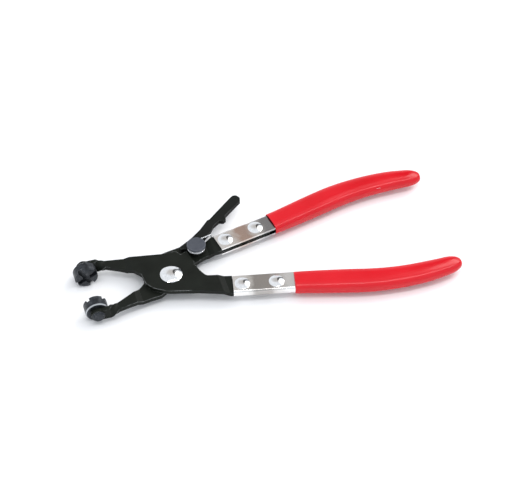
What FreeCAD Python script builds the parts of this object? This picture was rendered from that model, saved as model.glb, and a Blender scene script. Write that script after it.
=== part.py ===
"""Swivel-jaw hose-clamp pliers: two joggled plates on one rivet, channel handles, a lock lever.

The tool lies flat with +Z up, the jaws towards -X and the handles towards +X. Its middle plane
is plane_height above the surface it lies on, and the main pivot stands at pivot_x, pivot_y.
Every sub-part is drawn about the main pivot, unless its own section says otherwise.
"""
import FreeCAD
import Part
import Sketcher
import math
import os
from FreeCAD import Placement, Rotation, Vector

doc = FreeCAD.newDocument("hose_clamp_pliers")

# ---------------------------------------------------------------- driving dimensions (mm, degrees)
SIZES = {
    "pivot_x": -57.224,          # main pivot in the part's frame
    "pivot_y": -2.786,
    "plane_height": 7.0,         # middle plane of the tool above its resting surface
    "plate_thick": 2.8,          # pressed steel of both jaw plates and the lever
    "plate_gap": 0.1,            # running gap between the two plates
    "head_front": -20.5,         # the plates lie face to face from here ...
    "head_back": 26.5,           # ... to here
    "joggle_run": 3.5,           # length of each bend to the middle plane
    "jaw_mid_y": 3.65,           # line midway between the two open jaws
    "pad_x": -48.2,              # swivel axis of both pads along the tool
    "pad_half_gap": 10.05,       # from the middle line to each pad's gripping face
    "pad_radius": 7.0,
    "pad_length": 7.2,
    "pad_chamfer": 0.6,
    "groove_width": 3.0,
    "groove_depth": 2.4,
    "eye_gap": 0.2,             # running gap between pad and eye
    "eye_radius": 4.2,
    "neck_start": -35.5,         # the arm's flat end, where the quarter twist begins
    "neck_end": -41.5,
    "neck_width": 5.0,
    "arm_tip_reach": 17.15,      # middle of the arm's flat end from the middle line
    "pin_radius": 2.0,
    "pin_head_radius": 3.9,
    "pin_head_height": 1.5,
    "running_gap": 0.06,         # radial gap of every pin in its running hole
    "pivot_radius": 4.0,
    "pivot_head_radius": 6.6,
    "pivot_head_height": 2.4,
    "washer_thick": 0.8,
    "handle_tilt": 11.5,         # the straight root of each handle from the centre line
    "handle_start_x": 33.2,      # jaw-side end of each steel channel
    "handle_start_y": 17.25,
    "handle_root": 36.0,         # straight length of the channel
    "handle_lift": 3.0,          # slight outward bend, under the start of the grip
    "handle_lift_radius": 200.0,
    "handle_mid": 28.0,
    "handle_bow_radius": 150.0,
    "handle_bow": 20.0,
    "channel_width": 12.6,
    "channel_height": 5.0,
    "channel_sheet": 1.0,
    "channel_round": 1.6,
    "tang_width": 10.6,
    "tang_length": 33.0,
    "rivet_first": 5.4,          # handle rivets, from the channel's end
    "rivet_pitch": 20.3,
    "rivet_radius": 2.2,
    "rivet_head_radius": 4.5,
    "rivet_head_height": 1.3,
    "grip_start": 36.4,          # along the handle from the channel's end
    "grip_length": 102.2,
    "grip_half_width": 8.2,
    "grip_half_height": 5.4,
    "lever_x": 19.8,             # lock lever's pivot
    "lever_y": 16.0,
    "lever_bore": 2.5,
    "lever_boss": 4.7,
    "lever_head_radius": 5.7,
    "lever_head_height": 1.4,
    "wire_radius": 0.4,          # torsion spring
    "coil_radius": 5.1,
    "spring_rise": 1.4,          # between the two levels of its coil
}

sheet = doc.addObject("Spreadsheet::Sheet", "Sizes")
for row, (alias, value) in enumerate(SIZES.items(), start=1):
    sheet.set("A%d" % row, alias)
    sheet.set("B%d" % row, str(value))
    sheet.setAlias("B%d" % row, alias)
doc.recompute()

MIDDLE = "plane_height"
HALF = "( plate_thick / 2 )"
FRONT_LOW = "plane_height + plate_gap / 2"
FRONT_TOP = "plane_height + plate_gap / 2 + plate_thick"


def on_sheet(formula):
    """The same formula with each alias written as a cell of the sheet."""
    words = formula.replace("(", " ( ").replace(")", " ) ").split()
    return " ".join("Sizes." + word if word in SIZES else word for word in words)


def size(formula):
    """Value of a formula on the driving dimensions; plain numbers pass through."""
    if isinstance(formula, str):
        return float(sheet.evalExpression(on_sheet(formula)))
    return float(formula)


def bind(obj, prop, formula):
    """Set a property, bound to the sheet where a formula is given."""
    if isinstance(formula, str):
        obj.setExpression(prop, on_sheet(formula))
    else:
        setattr(obj, prop, formula)


def stand(obj, x="0", y="0", z="0", turn=None):
    """Place a sub-part relative to the main pivot, bound to the sheet."""
    if turn is not None:
        obj.Placement = Placement(Vector(0, 0, 0), turn)
    obj.setExpression(".Placement.Base.x", on_sheet("pivot_x + ( " + x + " )"))
    obj.setExpression(".Placement.Base.y", on_sheet("pivot_y + ( " + y + " )"))
    obj.setExpression(".Placement.Base.z", on_sheet(z))


# ---------------------------------------------------------------- sketches and features
def new_body(label):
    body = doc.addObject("PartDesign::Body", label)
    body.Label = label
    return body


def sketch_on(body, role, name, lift="0"):
    """New sketch on an origin plane of the body, lifted along that plane's normal."""
    plane = next(f for f in body.Origin.OriginFeatures if f.Role == role)
    sketch = body.newObject("Sketcher::SketchObject", name)
    sketch.AttachmentSupport = [(plane, "")]
    sketch.MapMode = "FlatFace"
    sketch.setExpression(".AttachmentOffset.Base.z", on_sheet(lift))
    return sketch


def fix_point(sketch, geometry, end, x, y):
    """Hold a sketch point at x, y, each a number or a formula on the sheet."""
    for kind, value in (("DistanceX", x), ("DistanceY", y)):
        constraint = Sketcher.Constraint(kind, -1, 1, geometry, end, size(value))
        index = sketch.addConstraint(constraint)
        if isinstance(value, str):
            sketch.setExpression("Constraints[%d]" % index, on_sheet(value))


def polygon(sketch, corners):
    """Closed polygon through the corners, added to the sketch."""
    first = sketch.GeometryCount
    count = len(corners)
    for i in range(count):
        start = [size(c) for c in corners[i]]
        end = [size(c) for c in corners[(i + 1) % count]]
        sketch.addGeometry(Part.LineSegment(Vector(*start, 0), Vector(*end, 0)), False)
    for i in range(count):
        follower = first + (i + 1) % count
        sketch.addConstraint(Sketcher.Constraint("Coincident", first + i, 2, follower, 1))
    for i, corner in enumerate(corners):
        fix_point(sketch, first + i, 1, *corner)
    return sketch


def circle(sketch, x, y, radius):
    """Circle with its centre and radius bound to the sheet."""
    shape = Part.Circle(Vector(size(x), size(y), 0), Vector(0, 0, 1), size(radius))
    index = sketch.addGeometry(shape, False)
    fix_point(sketch, index, 3, x, y)
    radius_constraint = sketch.addConstraint(Sketcher.Constraint("Radius", index, size(radius)))
    if isinstance(radius, str):
        sketch.setExpression("Constraints[%d]" % radius_constraint, on_sheet(radius))
    return sketch


def pad(body, sketch, name, length, midplane=False, reverse=False):
    feature = body.newObject("PartDesign::Pad", name)
    feature.Profile = sketch
    bind(feature, "Length", length)
    feature.Midplane = midplane
    feature.Reversed = reverse
    return feature


def pocket_through(body, sketch, name):
    """Cut right through on both sides of the sketch."""
    feature = body.newObject("PartDesign::Pocket", name)
    feature.Profile = sketch
    feature.Type = "ThroughAll"
    feature.Midplane = True
    return feature


def round_corners(body, name, corners):
    """Round upright edges of the body: corners lists (radius, [(x, y), ...])."""
    for number, (radius, points) in enumerate(corners):
        doc.recompute()
        base = body.Tip
        names = [upright_edge(base.Shape, size(x), size(y)) for x, y in points]
        feature = body.newObject("PartDesign::Fillet", "%s%d" % (name, number))
        feature.Base = (base, names)
        feature.Radius = radius


def upright_edge(shape, x, y):
    """Name of the straight upright edge nearest to x, y."""
    def distance(edge):
        ends = [v.Point for v in edge.Vertexes]
        if len(ends) != 2 or (ends[0] - ends[1]).cross(Vector(0, 0, 1)).Length > 1e-4:
            return float("inf")
        return math.hypot(ends[0].x - x, ends[0].y - y)
    edges = shape.Edges
    nearest = min(range(len(edges)), key=lambda i: distance(edges[i]))
    return "Edge%d" % (nearest + 1)


# ---------------------------------------------------------------- jaw plates
def joggle(body, sign):
    """Bend a plate to the middle plane at both ends: sign 1 for the front plate, -1 for the rear.

    The outline is padded over the plate's whole depth, and what lies outside the bent
    plate, seen from the side, is cut away.
    """
    def level(offset):
        return "plane_height + %d * ( %s )" % (sign, offset)

    head_near = level("plate_gap / 2")
    head_far = level("plate_gap / 2 + plate_thick")
    arm_near = level("0 - plate_thick / 2")
    arm_far = level("plate_thick / 2")
    beyond = level("9")
    under = level("0 - 9")
    front_bend = "head_front - joggle_run"
    back_bend = "head_back + joggle_run"
    cuts = sketch_on(body, "XZ_Plane", "Bends")
    polygon(cuts, [("head_front", head_near), ("head_back", head_near), (back_bend, arm_near),
                   (back_bend, under), (front_bend, under), (front_bend, arm_near)])
    polygon(cuts, [("head_front", head_far), (front_bend, arm_far), (-90.0, arm_far),
                   (-90.0, beyond), ("head_front", beyond)])
    polygon(cuts, [("head_back", head_far), (back_bend, arm_far), (90.0, arm_far),
                   (90.0, beyond), ("head_back", beyond)])
    pocket_through(body, cuts, "BendCuts")


def jaw_y(sign, reach):
    """Height of a jaw feature at a given reach from the line midway between the jaws."""
    return "jaw_mid_y + %d * ( %s )" % (sign, reach)


def neck_and_eye(body, sign):
    """Quarter-twisted neck and the upright eye that carries a swivel pad."""
    eye_mid = "pad_half_gap + pad_length + eye_gap + plate_thick / 2"
    stations = 4
    sections = []
    for i in range(stations):
        part_way = i / (stations - 1)
        lift = "neck_start + %.4f * ( neck_end - neck_start )" % part_way
        sketch = sketch_on(body, "YZ_Plane", "Neck%d" % i, lift)
        reach = "arm_tip_reach + %.4f * ( %s - arm_tip_reach )" % (part_way, eye_mid)
        middle = Vector(size(jaw_y(sign, reach)), size(MIDDLE), 0)
        half_width = size("neck_width / 2 + %.4f * ( eye_radius * 0.9 - neck_width / 2 )" % part_way)
        half_thick = size(HALF)
        turn = Rotation(Vector(0, 0, 1), 90.0 * part_way)
        corners = []
        for across, along in ((-1, -1), (1, -1), (1, 1), (-1, 1)):
            offset = turn.multVec(Vector(across * half_width, along * half_thick, 0))
            corners.append((middle.x + offset.x, middle.y + offset.y))
        polygon(sketch, corners)
        sections.append(sketch)
    neck = body.newObject("PartDesign::AdditiveLoft", "Neck")
    neck.Profile = sections[0]
    neck.Sections = sections[1:]
    neck.Ruled = False
    # the XZ plane's normal is -Y, so a lift along it is minus a height
    eye = sketch_on(body, "XZ_Plane", "Eye", "0 - ( " + jaw_y(sign, eye_mid) + " )")
    root = "neck_end + 0.3"
    polygon(eye, [(root, "plane_height - eye_radius * 0.9"), (root, "plane_height + eye_radius * 0.9"),
                  ("pad_x + 1.8", "plane_height + eye_radius * 0.9"),
                  ("pad_x + 1.8", "plane_height - eye_radius * 0.9")])
    pad(body, eye, "EyeRoot", "plate_thick", midplane=True)
    ring = sketch_on(body, "XZ_Plane", "EyeRing", "0 - ( " + jaw_y(sign, eye_mid) + " )")
    circle(ring, "pad_x", MIDDLE, "eye_radius")
    pad(body, ring, "EyeDisc", "plate_thick", midplane=True)
    hole = sketch_on(body, "XZ_Plane", "EyeHole", "0 - ( " + jaw_y(sign, eye_mid) + " )")
    circle(hole, "pad_x", MIDDLE, "pin_radius + running_gap")
    bore = body.newObject("PartDesign::Pocket", "EyeBore")
    bore.Profile = hole
    bind(bore, "Length", "plate_thick + 2")
    bore.Midplane = True


def handle_point(sign, along, across=0.0):
    """Plan position on a handle's straight root, from the channel's jaw-side end."""
    tilt = math.radians(size("handle_tilt"))
    run = size(along)
    x = size("handle_start_x") + run * math.cos(tilt) - across * math.sin(tilt)
    y = size("handle_start_y") + run * math.sin(tilt) + across * math.cos(tilt)
    return x, sign * y


def tang(body, sign):
    """Narrow tail of a plate, inside the handle channel, with its two rivet holes."""
    low = "plane_height - plate_thick / 2"
    half = size("tang_width / 2")
    tail = sketch_on(body, "XY_Plane", "Tang", low)
    polygon(tail, [handle_point(sign, -3.0, -half), handle_point(sign, "tang_length", -half),
                   handle_point(sign, "tang_length", half), handle_point(sign, -3.0, half)])
    pad(body, tail, "TangPad", "plate_thick")
    holes = sketch_on(body, "XY_Plane", "RivetHoles", low)
    for along in ("rivet_first", "rivet_first + rivet_pitch"):
        circle(holes, *handle_point(sign, along), "rivet_radius")
    pocket_through(body, holes, "RivetHoleCuts")


def jaw_plate(label, sign, outline, rounds, pivot_hole):
    """One jaw plate: its arm on one side of the pivot, its handle tang on the other."""
    body = new_body(label)
    lowest = "plane_height - plate_thick / 2"
    if sign < 0:
        lowest = "plane_height - plate_gap / 2 - plate_thick"
    face = sketch_on(body, "XY_Plane", "Outline", lowest)
    polygon(face, outline)
    pad(body, face, "Blank", "plate_thick * 1.5 + plate_gap / 2")
    round_corners(body, "Round", rounds)
    joggle(body, sign)
    tang(body, -sign)
    neck_and_eye(body, sign)
    hole = sketch_on(body, "XY_Plane", "PivotHole", MIDDLE)
    circle(hole, 0.0, 0.0, pivot_hole)
    return body, hole


FRONT_OUTLINE = [
    ("neck_start", jaw_y(1, "arm_tip_reach + neck_width / 2")),
    ("neck_start", jaw_y(1, "arm_tip_reach - neck_width / 2")),
    (-28.0, 14.5), (-21.0, 10.4), (-16.6, 5.0), (-16.0, -2.6), (-12.6, -7.2), (-5.2, -11.9),
    (13.0, -16.6), (31.85, -23.4), (34.6, -9.9), (19.6, -6.4), (17.0, -1.0), (16.4, 1.8),
    (15.2, 3.9), (15.8, 5.9), (13.4, 15.4), (9.5, 13.8), (7.3, 17.4), (-2.0, 17.6),
    (-13.4, 19.6), (-25.0, 21.6)]
FRONT_ROUNDS = [
    (4.0, [(19.6, -6.4)]), (2.5, [(-16.6, 5.0), (-16.0, -2.6), (-12.6, -7.2)]),
    (12.0, [(-21.0, 10.4), (-28.0, 14.5), (-5.2, -11.9)]), (0.5, [(9.5, 13.8), (7.3, 17.4)])]
REAR_OUTLINE = [
    ("neck_start", jaw_y(-1, "arm_tip_reach - neck_width / 2")),
    ("neck_start", jaw_y(-1, "arm_tip_reach + neck_width / 2")),
    (-28.0, -14.5), (-15.2, -12.3), (-8.9, -11.7), (-4.4, -8.8), (8.0, -9.0), (13.0, -1.0),
    (17.2, 7.4), (23.7, 10.3), (34.36, 11.06), (31.85, 23.4), (24.0, 20.4), (17.5, 23.0),
    (11.4, 22.3), (1.7, 20.6), (-4.0, 19.4), (-9.4, 15.6), (-13.4, 10.2), (-15.8, 4.6), (-16.6, 0.2), (-21.0, -3.7), (-29.5, -8.0)]
REAR_ROUNDS = [
    (2.5, [(-15.8, 4.6), (-16.6, 0.2), (-8.9, -11.7), (-4.4, -8.8), (17.5, 23.0), (-4.0, 19.4)]),
    (6.0, [(8.0, -9.0), (23.7, 10.3)]), (12.0, [(-21.0, -3.7), (-28.0, -14.5)])]


def front_jaw_plate():
    body, hole = jaw_plate("front_jaw_plate", 1, FRONT_OUTLINE, FRONT_ROUNDS, "pivot_radius")
    pocket_through(body, hole, "PivotBore")
    stand(body)
    return body


def rear_jaw_plate():
    body, hole = jaw_plate("rear_jaw_plate", -1, REAR_OUTLINE, REAR_ROUNDS,
                           "pivot_radius + running_gap")
    pocket_through(body, hole, "PivotBore")
    lever_hole = sketch_on(body, "XY_Plane", "LeverHole", MIDDLE)
    circle(lever_hole, "lever_x", "lever_y", "lever_bore")
    pocket_through(body, lever_hole, "LeverBore")
    stand(body)
    return body


# ---------------------------------------------------------------- turned rivets and pins
def turned(label, profile, domed=False):
    """Turned piece about +Z, from (radius, height) corners: first the top of the axis, then its foot.

    A domed piece ends in a spherical cap, from the last corner up to the top of the axis.
    """
    body = new_body(label)
    sketch = sketch_on(body, "XZ_Plane", "Profile")
    points = [Vector(size(r), size(z), 0) for r, z in profile]
    top, rim = points[0], points[-1]
    for start, end in zip(points, points[1:]):
        sketch.addGeometry(Part.LineSegment(start, end), False)
    if domed:
        height = top.y - rim.y
        ball = (rim.x ** 2 + height ** 2) / (2.0 * height)
        half_angle = math.asin(rim.x / ball) / 2.0
        middle = Vector(ball * math.sin(half_angle), top.y - ball + ball * math.cos(half_angle), 0)
        sketch.addGeometry(Part.Arc(rim, middle, top), False)
    else:
        sketch.addGeometry(Part.LineSegment(rim, top), False)
    spin = body.newObject("PartDesign::Revolution", "Turned")
    spin.Profile = sketch
    spin.ReferenceAxis = (sketch, ["V_Axis"])
    spin.Angle = 360.0
    return body


def pivot_rivet():
    head_low = "plate_gap / 2 + plate_thick"
    tail_top = "0 - plate_gap / 2 - plate_thick - washer_thick"
    body = turned("pivot_rivet", [
        (0.0, head_low + " + pivot_head_height"), (0.0, tail_top + " - 1.5"),
        ("pivot_radius * 1.1", tail_top + " - 1.5"), ("pivot_radius * 1.45", tail_top + " - 0.7"),
        ("pivot_radius * 1.45", tail_top), ("pivot_radius", tail_top), ("pivot_radius", head_low),
        ("pivot_head_radius", head_low), ("pivot_head_radius", head_low + " + 0.5")], domed=True)
    stand(body, z=MIDDLE)
    return body


def pivot_washer():
    body = new_body("pivot_washer")
    ring = sketch_on(body, "XY_Plane", "Ring")
    circle(ring, 0.0, 0.0, "pivot_radius * 1.75")
    circle(ring, 0.0, 0.0, "pivot_radius + 0.02")
    pad(body, ring, "Disc", "washer_thick - 0.05", reverse=True)
    stand(body, z="plane_height - plate_gap / 2 - plate_thick - 0.05")
    return body


def lever_rivet():
    shoulder_low = "plate_gap / 2 + plate_thick + 0.05"
    head_low = "plate_gap / 2 + plate_thick + 2 * wire_radius + spring_rise + 0.2"
    plate_low = "0 - plate_gap / 2 - plate_thick"
    body = turned("lever_rivet", [
        (0.0, head_low + " + lever_head_height"), (0.0, plate_low + " - 1.2"),
        ("lever_bore * 1.6", plate_low + " - 1.2"), ("lever_bore * 1.8", plate_low + " - 0.9"),
        ("lever_bore * 1.8", plate_low), ("lever_bore", plate_low), ("lever_bore", shoulder_low),
        ("coil_radius - wire_radius - 0.3", shoulder_low),
        ("coil_radius - wire_radius - 0.3", head_low), ("lever_head_radius", head_low),
        ("lever_head_radius", head_low + " + lever_head_height - 0.4"),
        ("lever_head_radius - 0.4", head_low + " + lever_head_height")])
    stand(body, "lever_x", "lever_y", MIDDLE)
    return body


def handle_rivet(label, sign, along):
    top = "channel_height / 2"
    body = turned(label, [
        (0.0, top + " + rivet_head_height"), (0.0, "0 - channel_height / 2 - 1.0"),
        ("rivet_head_radius * 0.7", "0 - channel_height / 2 - 1.0"),
        ("rivet_head_radius * 0.8", "0 - channel_height / 2"), ("rivet_radius", "0 - channel_height / 2"),
        ("rivet_radius", top), ("rivet_head_radius", top), ("rivet_head_radius", top + " + 0.25")],
        domed=True)
    x, y = handle_point(sign, along)
    stand(body, "%.4f" % x, "%.4f" % y, MIDDLE)
    return body


def pad_pin(label, sign):
    """Headed pin, drawn with its head at the bottom and its shank up into the pad."""
    eye = "plate_thick + eye_gap"
    body = turned(label, [
        (0.0, eye + " + pad_length * 0.5"), (0.0, "0 - pin_head_height"),
        ("pin_head_radius * 0.75", "0 - pin_head_height"), ("pin_head_radius", "0 - 0.45"),
        ("pin_head_radius", "0 - 0.05"), ("pin_radius", "0 - 0.05"),
        ("pin_radius", eye + " + pad_length * 0.5")])
    reach = "pad_half_gap + pad_length + eye_gap + plate_thick"
    stand(body, "pad_x", jaw_y(sign, reach), MIDDLE, Rotation(Vector(1, 0, 0), 90.0 * sign))
    return body


# ---------------------------------------------------------------- swivel pads
def swivel_pad(label, sign, turn):
    """Round pad about +Z, gripping face up, with crossed grooves and a blind bore for its pin."""
    body = new_body(label)
    disc = sketch_on(body, "XY_Plane", "Disc")
    circle(disc, 0.0, 0.0, "pad_radius")
    pad(body, disc, "Blank", "pad_length")
    doc.recompute()
    rims = ["Edge%d" % (i + 1) for i, edge in enumerate(body.Shape.Edges) if edge.isClosed()]
    blank = body.Tip
    chamfer = body.newObject("PartDesign::Chamfer", "Rims")
    chamfer.Base = (blank, rims)
    bind(chamfer, "Size", "pad_chamfer")
    grooves = sketch_on(body, "XY_Plane", "Grooves", "pad_length - groove_depth")
    half = size("groove_width / 2")
    reach = size("pad_radius + 1")
    cross = [(reach, -half), (reach, half), (half, half), (half, reach), (-half, reach), (-half, half),
             (-reach, half), (-reach, -half), (-half, -half), (-half, -reach), (half, -reach), (half, -half)]
    spin = Rotation(Vector(0, 0, 1), turn)
    turned_cross = [spin.multVec(Vector(x, y, 0)) for x, y in cross]
    polygon(grooves, [(p.x, p.y) for p in turned_cross])
    cut = body.newObject("PartDesign::Pocket", "GrooveCuts")
    cut.Profile = grooves
    bind(cut, "Length", "groove_depth + 1")
    cut.Reversed = True
    bore = sketch_on(body, "XY_Plane", "Bore")
    circle(bore, 0.0, 0.0, "pin_radius")
    drill = body.newObject("PartDesign::Pocket", "PinBore")
    drill.Profile = bore
    bind(drill, "Length", "pad_length * 0.5")
    drill.Reversed = True
    stand(body, "pad_x", jaw_y(sign, "pad_half_gap + pad_length"), MIDDLE,
          Rotation(Vector(1, 0, 0), 90.0 * sign))
    return body


# ---------------------------------------------------------------- handles
def handle_stations(sign):
    """The handle's plan route from the channel's end: straight, slight lift, straight, inward bow."""
    pieces = [("line", "handle_root"), ("arc", "handle_lift_radius", "handle_lift"),
              ("line", "handle_mid"), ("arc", "handle_bow_radius", "0 - handle_bow")]
    x, y = size("handle_start_x"), size("handle_start_y")
    heading = math.radians(size("handle_tilt"))
    route = []
    for piece in pieces:
        length = size(piece[1])
        turn = 0.0
        if piece[0] == "arc":
            turn = math.radians(size(piece[2]))
            length = abs(length * turn)
        route.append((x, y, heading, length, turn))
        x, y, heading = travel(x, y, heading, length, turn, length)
    route.append((x, y, heading, 1000.0, 0.0))
    return [(px, sign * py, sign * h, ln, sign * tn) for px, py, h, ln, tn in route]


def travel(x, y, heading, length, turn, run):
    """Point and heading after a run along one piece of a route."""
    if turn == 0.0:
        return x + run * math.cos(heading), y + run * math.sin(heading), heading
    bend = turn * run / length
    chord = 2.0 * math.sin(bend / 2.0) * length / turn
    aim = heading + bend / 2.0
    return x + chord * math.cos(aim), y + chord * math.sin(aim), heading + bend


def along_handle(sign, run):
    """Plan position and heading at a distance along the handle's route."""
    for x, y, heading, length, turn in handle_stations(sign):
        if run <= length:
            return travel(x, y, heading, length, turn, run)
        run -= length
    raise ValueError("run is past the route")


def handle_band(sketch, sign, start, end, inner, outer):
    """Closed plan outline between two offsets from the handle's route, from start to end."""
    stretches = []
    travelled = 0.0
    for x, y, heading, length, turn in handle_stations(sign):
        begin = max(start - travelled, 0.0)
        finish = min(end - travelled, length)
        travelled += length
        if finish - begin > 0.01:
            runs = (begin, (begin + finish) / 2.0, finish)
            stretches.append([travel(x, y, heading, length, turn, run) for run in runs])
    sides = [[[offset_point(spot, sign, offset) for spot in spots] for spots in stretches]
             for offset in (inner, outer)]
    outline = sides[0] + [[sides[0][-1][2], None, sides[1][-1][2]]]
    outline += [spots[::-1] for spots in sides[1][::-1]] + [[sides[1][0][0], None, sides[0][0][0]]]
    for first, middle, last in outline:
        if middle is None or (middle - first).cross(last - middle).Length < 1e-6:
            sketch.addGeometry(Part.LineSegment(first, last), False)
        else:
            sketch.addGeometry(Part.Arc(first, middle, last), False)
    return sketch


def offset_point(spot, sign, offset):
    """Point beside the route, outward from the other handle."""
    x, y, heading = spot
    return Vector(x - sign * offset * math.sin(heading), y + sign * offset * math.cos(heading), 0)


def runs_along_handle(edge, corner, width):
    """True for a level edge that leaves the outer corner of a bar's end along the handle."""
    level = edge.BoundBox.ZLength < 1e-3
    leaves = any(math.hypot(v.X - corner.x, v.Y - corner.y) < 1e-3 for v in edge.Vertexes)
    return level and leaves and abs(edge.Length - width) > 1e-3


def handle_bar(body, sign, start, end):
    """Bar of the channel's outer size along the handle, its two outer long edges rounded."""
    half = size("channel_width / 2")
    low = "plane_height - channel_height / 2"
    outline = handle_band(sketch_on(body, "XY_Plane", "Bar", low), sign, start, end, -half, half)
    pad(body, outline, "BarPad", "channel_height")
    doc.recompute()
    base = body.Tip
    corner = offset_point(along_handle(sign, start), sign, half)
    names = ["Edge%d" % (i + 1) for i, edge in enumerate(base.Shape.Edges)
             if runs_along_handle(edge, corner, 2.0 * half)]
    rounding = body.newObject("PartDesign::Fillet", "OuterCorners")
    rounding.Base = (base, names)
    bind(rounding, "Radius", "channel_round")


def handle_channel(label, sign):
    """Pressed steel U channel, open towards the other handle."""
    body = new_body(label)
    finish = size("grip_start + grip_length * 0.73")
    handle_bar(body, sign, 0.0, finish)
    half, wall = size("channel_width / 2"), size("channel_sheet")
    inside = sketch_on(body, "XY_Plane", "Inside", "plane_height - channel_height / 2 + channel_sheet")
    handle_band(inside, sign, -1.0, finish + 1.0, -half - 1.0, half - wall)
    hollow = body.newObject("PartDesign::Pocket", "Hollow")
    hollow.Profile = inside
    bind(hollow, "Length", "channel_height - 2 * channel_sheet")
    hollow.Reversed = True
    holes = sketch_on(body, "XY_Plane", "RivetHoles", MIDDLE)
    for along in ("rivet_first", "rivet_first + rivet_pitch"):
        circle(holes, *handle_point(sign, along), "rivet_radius")
    pocket_through(body, holes, "RivetHoleCuts")
    stand(body)
    return body


GRIP_STATIONS = [  # part of the grip's length, of its half width, of its half height
    (0.0, 0.91, 0.89), (0.14, 0.96, 0.96), (0.28, 0.99, 0.99), (0.42, 1.0, 1.0), (0.56, 0.98, 0.99),
    (0.70, 0.92, 0.95), (0.84, 0.83, 0.89), (0.93, 0.74, 0.84), (1.0, 0.64, 0.76)]


def grip(label, sign):
    """Dipped plastic grip: an oval loft along the handle, hollow where the channel runs."""
    ovals = []
    for part_way, wide, high in GRIP_STATIONS:
        x, y, heading = along_handle(sign, size("grip_start + %.4f * grip_length" % part_way))
        oval = doc.addObject("Part::Ellipse", "Oval")
        bind(oval, "MajorRadius", "grip_half_width * %.3f" % wide)
        bind(oval, "MinorRadius", "grip_half_height * %.3f" % high)
        across = Vector(-math.sin(heading), math.cos(heading), 0)
        upward = Vector(0, 0, 1)
        frame = Rotation(across, upward, across.cross(upward), "XYZ")
        oval.Placement = Placement(Vector(x, y, size(MIDDLE)), frame)
        ovals.append(oval)
    skin = doc.addObject("Part::Loft", "Skin")
    skin.Sections = ovals
    skin.Solid = True
    doc.recompute()
    ends = sorted((edge.CenterOfMass.x, i + 1) for i, edge in enumerate(skin.Shape.Edges)
                  if edge.isClosed())
    smooth = doc.addObject("Part::Fillet", "Smooth")
    smooth.Base = skin
    smooth.Edges = [(ends[0][1], 0.8, 0.8), (ends[-1][1], 3.6, 3.6)]
    core = new_body(label + "_core")
    handle_bar(core, sign, size("grip_start - 2"), size("grip_start + grip_length * 0.73 + 0.1"))
    shell = doc.addObject("Part::Cut", label)
    shell.Label = label
    shell.Base = smooth
    shell.Tool = core
    stand(shell)
    return shell


# ---------------------------------------------------------------- lock lever and its spring
LEVER_OUTLINE = [
    (10.7, 18.0), (11.3, 17.9), (14.3, 17.4), (16.2, 14.0), (18.4, 11.5), (22.0, 11.9), (24.3, 14.6),
    (24.4, 17.6), (25.7, 21.8), (31.3, 26.6), (34.7, 31.0), (39.0, 33.8), (41.3, 32.8), (43.3, 34.0),
    (43.5, 36.8), (55.9, 46.6), (56.4, 48.8), (54.8, 51.4), (52.6, 51.6), (50.4, 50.2), (36.9, 39.2),
    (33.6, 36.4), (32.2, 36.2), (25.8, 29.8), (18.2, 24.1), (10.2, 19.6)]


def lock_lever():
    body = new_body("lock_lever")
    face = sketch_on(body, "XY_Plane", "Outline", FRONT_LOW)
    polygon(face, LEVER_OUTLINE)
    pad(body, face, "Blank", "plate_thick")
    boss = sketch_on(body, "XY_Plane", "Boss", FRONT_LOW)
    circle(boss, "lever_x", "lever_y", "lever_boss")
    pad(body, boss, "BossPad", "plate_thick")
    round_corners(body, "Round", [(1.8, [(54.8, 51.4), (56.4, 48.8)]), (0.9, [(39.0, 33.8)]),
                                  (4.0, [(25.8, 29.8)])])
    hole = sketch_on(body, "XY_Plane", "Bore", MIDDLE)
    circle(hole, "lever_x", "lever_y", "lever_bore + running_gap")
    pocket_through(body, hole, "LeverBore")
    stand(body)
    return body


def lever_spring():
    """Torsion spring round the lever rivet.

    One straight leg hooks over the plate's edge; the coil's upper end bends down beside the lever.
    """
    wire, coil, rise = size("wire_radius"), size("coil_radius"), size("spring_rise")
    centre = Vector(size("lever_x"), size("lever_y"), size(FRONT_TOP) + 0.1 + wire)
    plate_hook = Vector(30.6, 23.9, centre.z)

    def on_coil(angle, lift):
        turn = math.radians(angle)
        return centre + Vector(coil * math.cos(turn), coil * math.sin(turn), lift)

    def ring(start, sweep, lift):
        arc = Part.makeTorus(coil, wire, Vector(0, 0, 0), Vector(0, 0, 1), 0, 360, sweep)
        arc.rotate(Vector(0, 0, 0), Vector(0, 0, 1), start)
        arc.translate(centre + Vector(0, 0, lift))
        return arc

    away = plate_hook - centre
    first = math.degrees(math.atan2(away.y, away.x) + math.acos(coil / math.hypot(away.x, away.y)))
    last = 708.0
    climb, lower = 30.0, 270.0
    foot, crest, end = on_coil(first + lower, 0.0), on_coil(first + lower + climb, rise), on_coil(last, rise)
    joint = wire * 1.03
    leg_drop = Vector(0, 0, -3.2)
    end_drop = Vector(0, 0, -3.6)
    pieces = [ring(first, lower, 0.0), rod(foot, crest, wire), Part.makeSphere(joint, foot),
              Part.makeSphere(joint, crest), ring(first + lower + climb, last - first - lower - climb, rise),
              rod(end, end + end_drop, wire), Part.makeSphere(joint, end),
              rod(on_coil(first, 0.0), plate_hook, wire), rod(plate_hook, plate_hook + leg_drop, wire),
              Part.makeSphere(joint, plate_hook)]
    spring = doc.addObject("Part::Feature", "lever_spring")
    spring.Shape = pieces[0].fuse(pieces[1:])
    spring.Label = "lever_spring"
    stand(spring)
    return spring


def rod(start, end, radius):
    return Part.makeCylinder(radius, (end - start).Length, start, end - start)


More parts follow.
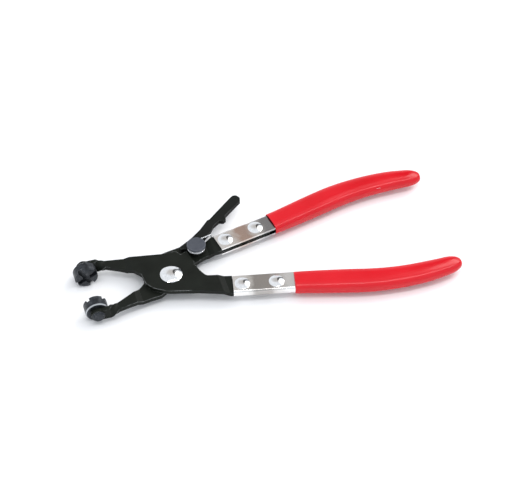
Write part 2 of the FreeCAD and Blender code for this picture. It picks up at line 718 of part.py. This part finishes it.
# ---------------------------------------------------------------- the assembly
SUB_PARTS = [
    front_jaw_plate(), rear_jaw_plate(), pivot_rivet(), pivot_washer(),
    handle_channel("upper_handle_channel", 1), handle_channel("lower_handle_channel", -1),
    handle_rivet("upper_front_handle_rivet", 1, "rivet_first"),
    handle_rivet("upper_back_handle_rivet", 1, "rivet_first + rivet_pitch"),
    handle_rivet("lower_front_handle_rivet", -1, "rivet_first"),
    handle_rivet("lower_back_handle_rivet", -1, "rivet_first + rivet_pitch"),
    grip("upper_grip", 1), grip("lower_grip", -1),
    swivel_pad("upper_swivel_pad", 1, 30.0), swivel_pad("lower_swivel_pad", -1, 50.0),
    pad_pin("upper_pad_pin", 1), pad_pin("lower_pad_pin", -1),
    lock_lever(), lever_rivet(), lever_spring()]
doc.recompute()

for item in doc.Objects:
    if "Invalid" in item.State or "Error" in item.State:
        raise RuntimeError("%s failed: %s" % (item.Label, item.State))
os.makedirs("parts", exist_ok=True)
for item in SUB_PARTS:
    if item.Shape.isNull() or not item.Shape.isValid():
        raise RuntimeError(item.Label + " has no valid shape")
    item.Shape.exportStep("parts/" + item.Label + ".step")
    box = item.Shape.BoundBox
    print("%-26s volume %8.1f  x %7.2f %7.2f  y %7.2f %7.2f  z %6.2f %6.2f" % (
        item.Label, item.Shape.Volume, box.XMin, box.XMax, box.YMin, box.YMax, box.ZMin, box.ZMax))
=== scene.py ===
"""Looks of the swivel-jaw hose clamp pliers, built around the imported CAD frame. Metres, +Z up."""
import math

import bpy
import bmesh
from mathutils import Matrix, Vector


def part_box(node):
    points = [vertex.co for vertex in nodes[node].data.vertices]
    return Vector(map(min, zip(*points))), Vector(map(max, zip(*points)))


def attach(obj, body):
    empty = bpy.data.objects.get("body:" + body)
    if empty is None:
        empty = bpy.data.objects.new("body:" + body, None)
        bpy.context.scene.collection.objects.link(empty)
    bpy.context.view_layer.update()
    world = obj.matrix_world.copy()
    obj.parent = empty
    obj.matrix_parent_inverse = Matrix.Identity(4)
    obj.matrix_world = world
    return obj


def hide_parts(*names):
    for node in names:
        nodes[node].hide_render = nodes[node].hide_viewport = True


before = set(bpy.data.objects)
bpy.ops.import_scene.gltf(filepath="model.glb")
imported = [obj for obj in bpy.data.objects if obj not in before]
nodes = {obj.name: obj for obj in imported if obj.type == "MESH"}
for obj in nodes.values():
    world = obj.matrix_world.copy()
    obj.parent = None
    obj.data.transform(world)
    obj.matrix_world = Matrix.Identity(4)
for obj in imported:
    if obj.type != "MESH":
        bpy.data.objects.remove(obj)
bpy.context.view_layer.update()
MM = 0.001


def middle(node):
    """Middle of a CAD node's box."""
    low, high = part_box(node)
    return (low + high) / 2


PIVOT = middle("pivot_rivet")
LEVER = middle("lever_rivet")
LEVER_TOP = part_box("lock_lever")[1].z
HANDLE_TILT = 11.5                        # degrees between each handle's start and X
HANDLE_Z = 7.0 * MM                       # height of both handles' middle plane
VISIBLE_CHANNEL = 37 * MM                 # channel between the black plate and the grip

# the colour Mix node's sockets, which share their names with its other types
MIX_FIRST, MIX_SECOND, MIX_RESULT = 6, 7, 2


# ---------------------------------------------------------------- material helpers
class Shader:
    """A new material and short calls to build its node tree."""

    def __init__(self, name):
        self.material = bpy.data.materials.new(name)
        self.material.use_nodes = True
        self.tree = self.material.node_tree
        self.surface = self.tree.nodes["Principled BSDF"]
        self.coords = self.tree.nodes.new("ShaderNodeTexCoord").outputs["Object"]

    def node(self, kind, **settings):
        made = self.tree.nodes.new("ShaderNode" + kind)
        for name, value in settings.items():
            setattr(made, name, value)
        return made

    def link(self, source, target):
        self.tree.links.new(source, target)

    def set(self, **values):
        for name, value in values.items():
            self.surface.inputs[name.replace("_", " ")].default_value = value

    def stretched(self, scale, turn=0.0):
        """Object coordinates turned about Z by some degrees, then scaled."""
        mapping = self.node("Mapping")
        mapping.inputs["Rotation"].default_value = (0, 0, math.radians(turn))
        mapping.inputs["Scale"].default_value = scale
        self.link(self.coords, mapping.inputs["Vector"])
        return mapping.outputs["Vector"]

    def noise(self, scale, detail=3.0, roughness=0.5, vector=None):
        made = self.node("TexNoise")
        made.inputs["Scale"].default_value = scale
        made.inputs["Detail"].default_value = detail
        made.inputs["Roughness"].default_value = roughness
        self.link(vector or self.coords, made.inputs["Vector"])
        return made.outputs["Fac"]

    def ramp(self, source, stops):
        """Colour ramp; stops lists (position, grey or colour)."""
        made = self.node("ValToRGB")
        points = made.color_ramp.elements
        while len(points) < len(stops):
            points.new(0.5)
        for point, (position, colour) in zip(points, stops):
            point.position = position
            point.color = (colour,) * 3 + (1,) if isinstance(colour, float) else (*colour, 1)
        self.link(source, made.inputs["Fac"])
        return made.outputs["Color"]

    def mix(self, factor, first, second):
        """Colour mix; each of first and second is a colour or a socket."""
        made = self.node("Mix", data_type="RGBA")
        self.link(factor, made.inputs["Factor"])
        for socket, value in ((made.inputs[MIX_FIRST], first), (made.inputs[MIX_SECOND], second)):
            if isinstance(value, tuple):
                socket.default_value = (*value, 1)
            else:
                self.link(value, socket)
        return made.outputs[MIX_RESULT]

    def bump(self, height, strength, distance):
        made = self.node("Bump")
        made.inputs["Strength"].default_value = strength
        made.inputs["Distance"].default_value = distance
        self.link(height, made.inputs["Height"])
        self.link(made.outputs["Normal"], self.surface.inputs["Normal"])

    def edges(self, radius, low, high):
        """1 within a strip along sharp edges, 0 elsewhere; callers paint wear, painted glints or both
        there.
        """
        rounded = self.node("Bevel", samples=6)
        rounded.inputs["Radius"].default_value = radius
        plain = self.node("NewGeometry")
        dot = self.node("VectorMath", operation="DOT_PRODUCT")
        self.link(rounded.outputs["Normal"], dot.inputs[0])
        self.link(plain.outputs["True Normal"], dot.inputs[1])
        return self.ramp(dot.outputs["Value"], [(low, 1.0), (high, 0.0)])


def black_steel(name, base, wear_and_glint, rough):
    """Matt blackened steel: cloudy oxide, a fine grain, and sharp edges painted bright in patches,
    partly as wear and partly as painted glints.
    """
    s = Shader(name)
    clouds = s.noise(90, 5, 0.6)
    grain = s.noise(1400, 3, 0.6)
    body = s.ramp(clouds, [(0.3, base), (0.75, tuple(c * 1.7 for c in base))])
    patches = s.ramp(s.noise(75, 4, 0.7), [(0.46, 0.0), (0.60, 1.0)])
    # sharp edges brightened in patches: partly wear, partly painted glints of light along the edges
    edge_wear_and_glint = s.node("Math", operation="MULTIPLY")
    s.link(s.edges(0.00055, 0.86, 0.97), edge_wear_and_glint.inputs[0])
    s.link(patches, edge_wear_and_glint.inputs[1])
    s.link(s.mix(edge_wear_and_glint.outputs["Value"], body, wear_and_glint), s.surface.inputs["Base Color"])
    s.link(s.ramp(clouds, [(0.3, rough), (0.8, rough + 0.14)]), s.surface.inputs["Roughness"])
    s.bump(grain, 0.25, 0.00005)
    s.set(Metallic=0.0, Specular_IOR_Level=0.14)
    return s.material


def bright_plate(name, turn, start, reflection_zones):
    """Bright plated sheet: fine drawn lines, painted reflections in bright, grey and warm bands along
    the handle, and painted highlights on sharp edges.
    """
    s = Shader(name)
    lines = s.noise(1.0, 2, 0.5, s.stretched((60, 2600, 900), -turn))
    along = s.node("SeparateXYZ")
    s.link(s.stretched((1, 1, 1), -turn), along.inputs["Vector"])
    place = s.node("MapRange")
    place.inputs["From Min"].default_value = start
    place.inputs["From Max"].default_value = start + VISIBLE_CHANNEL
    s.link(along.outputs["X"], place.inputs["Value"])
    wander = s.node("MapRange")
    wander.inputs["To Min"].default_value = -0.10
    wander.inputs["To Max"].default_value = 0.10
    s.link(s.noise(210, 4, 0.6), wander.inputs["Value"])
    shaken = s.node("Math", operation="ADD")
    s.link(place.outputs["Result"], shaken.inputs[0])
    s.link(wander.outputs["Result"], shaken.inputs[1])
    # painted reflection of the room: bright, grey and warm bands along the channel, shifted a little by
    # noise
    painted_reflection = s.ramp(shaken.outputs["Value"], reflection_zones)
    # painted highlight: sharp edges of the channel turned near white
    colour = s.mix(s.edges(0.0005, 0.86, 0.98), painted_reflection, (0.97, 0.97, 0.98))
    s.link(colour, s.surface.inputs["Base Color"])
    s.link(s.ramp(lines, [(0.3, 0.14), (0.8, 0.28)]), s.surface.inputs["Roughness"])
    s.bump(lines, 0.06, 0.00003)
    s.set(Metallic=1.0)
    return s.material


def polished(name, colour, rough, grain=700):
    """Polished metal with faint specks and a slight unevenness."""
    s = Shader(name)
    specks = s.noise(grain, 4, 0.6)
    s.link(s.ramp(specks, [(0.3, colour), (0.85, tuple(c * 0.82 for c in colour))]),
           s.surface.inputs["Base Color"])
    s.link(s.ramp(specks, [(0.35, rough), (0.8, rough * 1.9)]), s.surface.inputs["Roughness"])
    s.bump(s.noise(160, 3, 0.5), 0.05, 0.0001)
    s.set(Metallic=1.0)
    return s.material


def slate_rivet(name):
    """Satin slate-grey rivet head with a soft bloom and a scuffed, paler rim."""
    s = Shader(name)
    bloom = s.noise(260, 4, 0.6)
    body = s.ramp(bloom, [(0.3, (0.050, 0.056, 0.072)), (0.8, (0.075, 0.082, 0.10))])
    colour = s.mix(s.edges(0.0003, 0.9, 0.99), body, (0.22, 0.23, 0.26))
    s.link(colour, s.surface.inputs["Base Color"])
    s.link(s.ramp(bloom, [(0.3, 0.42), (0.8, 0.6)]), s.surface.inputs["Roughness"])
    s.bump(s.noise(1500, 2, 0.5), 0.2, 0.00004)
    s.set(Metallic=0.25)
    return s.material


def gunmetal(name, back=0.0):
    """Oiled gunmetal, mottled, with sharp edges painted paler in patches as wear and painted glints.
    Back (1 or -1) is the Y side whose chamfer gets a painted highlight.
    """
    s = Shader(name)
    mottle = s.noise(420, 5, 0.65)
    body = s.ramp(mottle, [(0.25, (0.012, 0.014, 0.017)), (0.55, (0.032, 0.036, 0.042)),
                           (0.82, (0.12, 0.125, 0.135))])
    patches = s.ramp(s.noise(300, 4, 0.7), [(0.45, 0.0), (0.62, 1.0)])
    # sharp edges paler in patches: partly wear, partly painted glints
    wear_and_glint = s.node("Math", operation="MULTIPLY")
    s.link(s.edges(0.00045, 0.84, 0.97), wear_and_glint.inputs[0])
    s.link(patches, wear_and_glint.inputs[1])
    colour = s.mix(wear_and_glint.outputs["Value"], body, (0.30, 0.31, 0.33))
    if back:
        # painted highlight: a pale ring on the chamfer whose normals face the back side
        facing = s.node("SeparateXYZ")
        s.link(s.node("TexCoord").outputs["Normal"], facing.inputs["Vector"])
        away = s.node("Math", operation="MULTIPLY")
        away.inputs[1].default_value = back
        s.link(facing.outputs["Y"], away.inputs[0])
        rim = s.ramp(away.outputs["Value"], [(0.60, 0.0), (0.66, 1.0), (0.76, 1.0), (0.82, 0.0)])
        colour = s.mix(rim, colour, (0.42, 0.44, 0.46))
    s.link(colour, s.surface.inputs["Base Color"])
    s.link(s.ramp(mottle, [(0.3, 0.3), (0.8, 0.5)]), s.surface.inputs["Roughness"])
    s.bump(s.noise(900, 4, 0.6), 0.3, 0.00006)
    s.set(Metallic=0.65)
    return s.material


def dipped_plastic(name):
    """Glossy red dipped plastic: slight colour drift, faint scuffs, orange-peel ripple."""
    s = Shader(name)
    drift = s.noise(38, 3, 0.5)
    red = s.ramp(drift, [(0.3, (0.56, 0.0045, 0.011)), (0.75, (0.64, 0.007, 0.016))])
    scuffs = s.ramp(s.noise(420, 5, 0.7, s.stretched((1, 3, 1))), [(0.62, 0.0), (0.78, 1.0)])
    s.link(s.mix(scuffs, red, (0.60, 0.014, 0.026)), s.surface.inputs["Base Color"])
    s.link(s.ramp(drift, [(0.3, 0.16), (0.8, 0.24)]), s.surface.inputs["Roughness"])
    s.bump(s.noise(120, 2, 0.4), 0.10, 0.0003)
    s.set(Specular_IOR_Level=0.28, Coat_Weight=0.15, Coat_Roughness=0.06)
    return s.material


# the second colour of each is painted on sharp edges in patches, partly as wear and partly as painted
# glints
BLACK = black_steel("black_plate_steel", (0.0055, 0.0068, 0.0050), (0.26, 0.27, 0.27), 0.40)
BLACK_LEVER = black_steel("black_lever_steel", (0.0045, 0.0052, 0.0045), (0.10, 0.11, 0.11), 0.5)
CHROME = polished("polished_rivet_steel", (0.93, 0.93, 0.935), 0.06)
WASHER = polished("washer_steel", (0.55, 0.55, 0.56), 0.25)
SPRING = polished("spring_wire_steel", (0.72, 0.73, 0.75), 0.16, 1200)
PIN = gunmetal("pin_gunmetal")
GUNMETAL = {"upper": gunmetal("upper_pad_gunmetal", 1.0),
            "lower": gunmetal("lower_pad_gunmetal", -1.0)}
SLATE = slate_rivet("slate_rivet_steel")
RED = dipped_plastic("red_dipped_plastic")


def finish_with(thing, material):
    """Give an object one material."""
    thing.data.materials.clear()
    thing.data.materials.append(material)


def zone_start(side, sign):
    """Distance along a handle's own direction at which its channel starts."""
    low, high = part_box(side + "_handle_channel")
    tilt = math.radians(HANDLE_TILT)
    return low.x * math.cos(tilt) + (low.y if sign > 0 else -high.y) * math.sin(tilt)


# each channel's painted reflection: bands from where the channel starts to where the grip covers it
PLATED = {
    "upper": bright_plate("plated_channel_upper", HANDLE_TILT, zone_start("upper", 1), [
        (0.10, (0.93, 0.92, 0.91)), (0.34, (0.84, 0.80, 0.77)), (0.46, (0.60, 0.45, 0.38)),
        (0.60, (0.58, 0.44, 0.38)), (0.72, (0.80, 0.78, 0.76)), (0.92, (0.34, 0.34, 0.35))]),
    "lower": bright_plate("plated_channel_lower", -HANDLE_TILT, zone_start("lower", -1), [
        (0.06, (0.93, 0.92, 0.91)), (0.30, (0.86, 0.85, 0.83)), (0.42, (0.44, 0.42, 0.40)),
        (0.66, (0.46, 0.43, 0.41)), (0.80, (0.74, 0.72, 0.70)), (0.95, (0.90, 0.90, 0.90))])}
for side in ("upper", "lower"):
    finish_with(nodes[side + "_handle_channel"], PLATED[side])
    finish_with(nodes[side + "_front_handle_rivet"], CHROME)
    finish_with(nodes[side + "_back_handle_rivet"], CHROME)
    finish_with(nodes[side + "_pad_pin"], PIN)
    finish_with(nodes[side + "_swivel_pad"], GUNMETAL[side])
finish_with(nodes["front_jaw_plate"], BLACK)
finish_with(nodes["rear_jaw_plate"], BLACK)
finish_with(nodes["lock_lever"], BLACK_LEVER)
finish_with(nodes["pivot_rivet"], CHROME)
finish_with(nodes["pivot_washer"], WASHER)
finish_with(nodes["lever_rivet"], SLATE)


# ---------------------------------------------------------------- new meshes
def new_piece(name, verts, faces, material, body, node, levels=0):
    """A smooth mesh that stands for one CAD node."""
    mesh = bpy.data.meshes.new(name)
    mesh.from_pydata([tuple(v) for v in verts], [], faces)
    shaper = bmesh.new()
    shaper.from_mesh(mesh)
    bmesh.ops.recalc_face_normals(shaper, faces=shaper.faces)
    shaper.to_mesh(mesh)
    shaper.free()
    mesh.shade_smooth()
    piece = bpy.data.objects.new(name, mesh)
    bpy.context.scene.collection.objects.link(piece)
    if levels:
        smooth = piece.modifiers.new("Smooth", "SUBSURF")
        smooth.levels = levels
        smooth.render_levels = levels
    finish_with(piece, material)
    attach(piece, body)
    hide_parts(node)


def travel(x, y, heading, length, turn, run):
    """Point and heading after a run along a straight or an arc."""
    if turn == 0.0:
        return x + run * math.cos(heading), y + run * math.sin(heading), heading
    bend = turn * run / length
    chord = 2.0 * math.sin(bend / 2.0) * length / turn
    aim = heading + bend / 2
    return x + chord * math.cos(aim), y + chord * math.sin(aim), heading + bend


ROUTE_START = (33.2 * MM, 17.25 * MM)     # the handle's start from the pivot, as in the CAD
# each run's length (mm) where its bend is 0, otherwise its radius (mm), then its bend in degrees
ROUTE = [(36.0, 0.0), (200.0, 3.0), (28.0, 0.0), (150.0, -20.0), (900.0, 0.0)]
GRIP_START, GRIP_LENGTH = 36.4 * MM, 102.2 * MM


def along_handle(sign, run):
    """Plan position and heading at a distance along one handle's route."""
    x, y = ROUTE_START
    heading = math.radians(HANDLE_TILT)
    for size, bend in ROUTE:
        turn = math.radians(bend)
        length = abs(size * turn) * MM if bend else size * MM
        if run <= length:
            break
        x, y, heading = travel(x, y, heading, length, turn, length)
        run -= length
    x, y, heading = travel(x, y, heading, length, turn, run)
    return PIVOT.x + x, PIVOT.y + sign * y, sign * heading


# part of the grip's length, half width (mm), half height (mm), boxiness of the section
GRIP_SHAPE = [(0.0, 7.0, 4.2, 3.0), (0.10, 7.2, 4.35, 3.0), (0.23, 7.45, 4.6, 3.0),
              (0.38, 7.6, 4.7, 2.9), (0.63, 7.15, 4.5, 2.65), (0.80, 6.7, 4.3, 2.5),
              (0.91, 5.9, 4.0, 2.4), (1.0, 5.2, 3.7, 2.3)]


def grip_shape(t):
    """The three values of GRIP_SHAPE at part t of the grip, smooth between its rows."""
    last_row = len(GRIP_SHAPE) - 1
    k = max(i for i in range(last_row) if GRIP_SHAPE[i][0] <= t)
    before, here, after, beyond = (GRIP_SHAPE[min(max(i, 0), last_row)] for i in range(k - 1, k + 3))
    f = (t - here[0]) / (after[0] - here[0])
    values = []
    for a, b, c, d in zip(before[1:], here[1:], after[1:], beyond[1:]):
        bend = (c - a) * f * (1 - f) ** 2 / 2 - (d - b) * f * f * (1 - f) / 2
        values.append(b + (c - b) * f * f * (3 - 2 * f) + bend)
    return values


RING = 48                                 # points round a grip's section


def grip_ring(sign, run, half_width, half_height, power):
    """Rounded-box section across the handle."""
    x, y, heading = along_handle(sign, run)
    points = []
    for i in range(RING):
        a = 2 * math.pi * i / RING
        c, s = math.cos(a), math.sin(a)
        across = half_width * math.copysign(abs(c) ** (2 / power), c)
        up = half_height * math.copysign(abs(s) ** (2 / power), s)
        points.append(Vector((x - across * math.sin(heading), y + across * math.cos(heading),
                              HANDLE_Z + up)))
    return points


def tube_faces(rings, around):
    """Quads that join rings of points, each with the same count round it."""
    faces = []
    for r in range(rings - 1):
        for i in range(around):
            j = (i + 1) % around
            faces.append((r * around + i, r * around + j, (r + 1) * around + j, (r + 1) * around + i))
    return faces


def build_grip(side, sign, body):
    """Dipped grip: rolled mouth, boxy section over the channel, rounder towards a domed tip."""
    steps, cap_steps, narrowest = 60, 10, 0.03
    lip = 0.004                           # part of the grip's length where the rolled mouth ends
    last = 1.0 - 8.5 * MM / GRIP_LENGTH   # where the domed tip starts
    mouth_inset = 0.6 * MM

    def section(t, shrink=0.0, squeeze=1.0):
        width, height, power = grip_shape(t)
        run = GRIP_START + t * GRIP_LENGTH
        return grip_ring(sign, run, (width * MM - shrink) * squeeze,
                         (height * MM - shrink) * squeeze, power)

    rings = [section(0.05, mouth_inset), section(0.006, mouth_inset), section(0.0, 0.75 * mouth_inset),
             section(0.0, 0.3 * mouth_inset), section(lip)]
    rings += [section(lip + (last - lip) * i / steps) for i in range(1, steps + 1)]
    for i in range(1, cap_steps):
        a = math.pi / 2 * i / cap_steps
        rings.append(section(last + (1.0 - last) * math.sin(a), 0.0, max(narrowest, math.cos(a) ** 0.7)))
    verts = [p for ring in rings for p in ring]
    faces = tube_faces(len(rings), RING)
    x, y, _ = along_handle(sign, GRIP_START + GRIP_LENGTH)
    verts.append(Vector((x, y, HANDLE_Z)))
    end = len(verts) - 1
    base = (len(rings) - 1) * RING
    faces += [(base + i, base + (i + 1) % RING, end) for i in range(RING)]
    new_piece(side + "_dipped_grip", verts, faces, RED, body, side + "_grip", 1)


build_grip("upper", 1, "rear_half")
build_grip("lower", -1, "front_half")


def build_spring():
    """Torsion spring: a leg hooked over the plate, a tight coil, and an end bent down by the lever."""
    wire, coil, rise, gap = 0.4 * MM, 5.1 * MM, 1.4 * MM, 0.1 * MM
    hook_corner, hook_fall, end_corner, end_fall = 0.8 * MM, 2.8 * MM, 0.5 * MM, 3.2 * MM
    last_angle, steps, corner_steps, around = 701.0, 84, 4, 12
    quarter = [math.pi / 2 * k / corner_steps for k in range(corner_steps + 1)]
    down = Vector((0, 0, -1))

    centre = Vector((LEVER.x, LEVER.y, LEVER_TOP + gap + wire))
    # the hook stands half a millimetre from the CAD's, which the lever meets at its lower limit
    hook = Vector((PIVOT.x + 31.11 * MM, PIVOT.y + 23.77 * MM, centre.z))
    away = hook - centre
    first = math.atan2(away.y, away.x) + math.acos(coil / math.hypot(away.x, away.y))
    sweep = math.radians(last_angle) - first
    winding = [centre + Vector((coil * math.cos(first + sweep * i / steps),
                                coil * math.sin(first + sweep * i / steps), rise * i / steps))
               for i in range(steps + 1)]

    aim = (winding[0] - hook).normalized()
    span = (winding[0] - hook).length
    bend = [hook + down * hook_corner * (1 - math.sin(a)) + aim * hook_corner * (1 - math.cos(a))
            for a in quarter]
    leg = [hook + aim * (hook_corner + (span - hook_corner) * f) for f in (0.3, 0.6, 0.85)]

    ahead = (winding[-1] - winding[-2]).normalized()
    tail = [winding[-1] + ahead * end_corner * math.sin(a) + down * end_corner * (1 - math.cos(a))
            for a in quarter[1:]]
    tail.append(tail[-1] + down * end_fall)
    path = [hook + down * hook_fall, hook + down * hook_corner * 2] + bend + leg + winding + tail

    verts = []
    side = Vector((1, 0, 0))
    for i, point in enumerate(path):
        ahead = path[min(i + 1, len(path) - 1)] - path[max(i - 1, 0)]
        ahead.normalize()
        side = (side - ahead * side.dot(ahead)).normalized()
        up = ahead.cross(side)
        for k in range(around):
            a = 2 * math.pi * k / around
            verts.append(point + (side * math.cos(a) + up * math.sin(a)) * wire)
    faces = tube_faces(len(path), around)
    faces.append(tuple(range(around)))
    faces.append(tuple(range((len(path) - 1) * around, len(path) * around)))
    new_piece("torsion_spring", verts, faces, SPRING, "rear_half", "lever_spring")


build_spring()

# ---------------------------------------------------------------- floor, light and camera
SOFT_BLUE = (0.92, 0.955, 1.0)


def build_floor():
    """Plain pale paper, a hair under the object."""
    mesh = bpy.data.meshes.new("floor")
    reach = 3.0
    corners = [(-reach, -reach, 0), (reach, -reach, 0), (reach, reach, 0), (-reach, reach, 0)]
    mesh.from_pydata(corners, [], [(0, 1, 2, 3)])
    floor = bpy.data.objects.new("floor", mesh)
    floor.location.z = -0.0002
    bpy.context.scene.collection.objects.link(floor)
    s = Shader("floor_paper")
    s.link(s.ramp(s.noise(3, 2, 0.5), [(0.3, (0.93, 0.93, 0.94)), (0.8, (0.95, 0.95, 0.955))]),
           s.surface.inputs["Base Color"])
    s.set(Roughness=0.85, Specular_IOR_Level=0.1)
    finish_with(floor, s.material)


def area_light(name, position, target, size, power, colour, depth=None):
    """Soft round lamp, or a long panel if it has a depth."""
    data = bpy.data.lights.new(name, "AREA")
    data.shape = "RECTANGLE" if depth else "DISK"
    data.size = size
    if depth:
        data.size_y = depth
    data.energy = power
    data.color = colour
    lamp = bpy.data.objects.new(name, data)
    bpy.context.scene.collection.objects.link(lamp)
    lamp.location = position
    lamp.rotation_euler = (Vector(target) - Vector(position)).to_track_quat("-Z", "Y").to_euler()


LOOK_AT = PIVOT + Vector((61.4 * MM, 13.5 * MM, 0))
LOOK_AT.z = 0.0
TURN, TILT, DISTANCE = math.radians(16.6), math.radians(48.0), 1.2
FORWARD = Vector((math.sin(TURN) * math.cos(TILT), math.cos(TURN) * math.cos(TILT),
                  -math.sin(TILT)))

# colours and extents of the room's card and ring, as cosines of the angle from their middles
CARD = [(0.885, SOFT_BLUE), (0.985, (0.62, 0.60, 0.585))]
CRESCENT = [(0.86, 1.0), (0.895, 0.10), (0.925, 0.10), (0.955, 1.0)]
CRESCENT_SIDE = 0.75                      # how far the ring lies towards X from the card


def build_world():
    """White studio, with a soft card that the flat tops mirror and a dark ring for the domes."""
    world = bpy.data.worlds.new("studio")
    bpy.context.scene.world = world
    world.use_nodes = True
    tree = world.node_tree
    direction = tree.nodes.new("ShaderNodeTexCoord").outputs["Generated"]

    def around(middle_of, stops):
        aim = tree.nodes.new("ShaderNodeVectorMath")
        aim.operation = "DOT_PRODUCT"
        aim.inputs[1].default_value = middle_of
        tree.links.new(direction, aim.inputs[0])
        ramp = tree.nodes.new("ShaderNodeValToRGB")
        points = ramp.color_ramp.elements
        while len(points) < len(stops):
            points.new(0.5)
        for point, (position, colour) in zip(points, stops):
            point.position = position
            point.color = (colour,) * 3 + (1,) if isinstance(colour, float) else (*colour, 1)
        tree.links.new(aim.outputs["Value"], ramp.inputs["Fac"])
        return ramp.outputs["Color"]

    both = tree.nodes.new("ShaderNodeMix")
    both.data_type = "RGBA"
    both.blend_type = "MULTIPLY"
    both.inputs["Factor"].default_value = 1.0
    card = around((FORWARD.x, FORWARD.y, -FORWARD.z), CARD)
    beside = Vector((FORWARD.x + CRESCENT_SIDE, FORWARD.y, -FORWARD.z)).normalized()
    tree.links.new(card, both.inputs[MIX_FIRST])
    tree.links.new(around(beside, CRESCENT), both.inputs[MIX_SECOND])
    background = tree.nodes["Background"]
    background.inputs["Strength"].default_value = 0.97
    tree.links.new(both.outputs[MIX_RESULT], background.inputs["Color"])


build_floor()
build_world()
area_light("key", (0.75, 0.35, 0.8), (0, 0, 0), 0.8, 6.0, (1.0, 0.985, 0.96))
area_light("line", (0.15, -0.22, 0.98), (0.15, 0, 0), 1.5, 3.6, (1.0, 1.0, 1.0), 0.06)

camera_data = bpy.data.cameras.new("camera")
camera_data.lens = 135
camera_data.sensor_width = 36
camera_data.clip_end = 20
camera = bpy.data.objects.new("camera", camera_data)
bpy.context.scene.collection.objects.link(camera)
camera.location = LOOK_AT - FORWARD * DISTANCE
camera.rotation_euler = FORWARD.to_track_quat("-Z", "Y").to_euler()
bpy.context.scene.camera = camera
bpy.context.scene.view_settings.view_transform = "Standard"
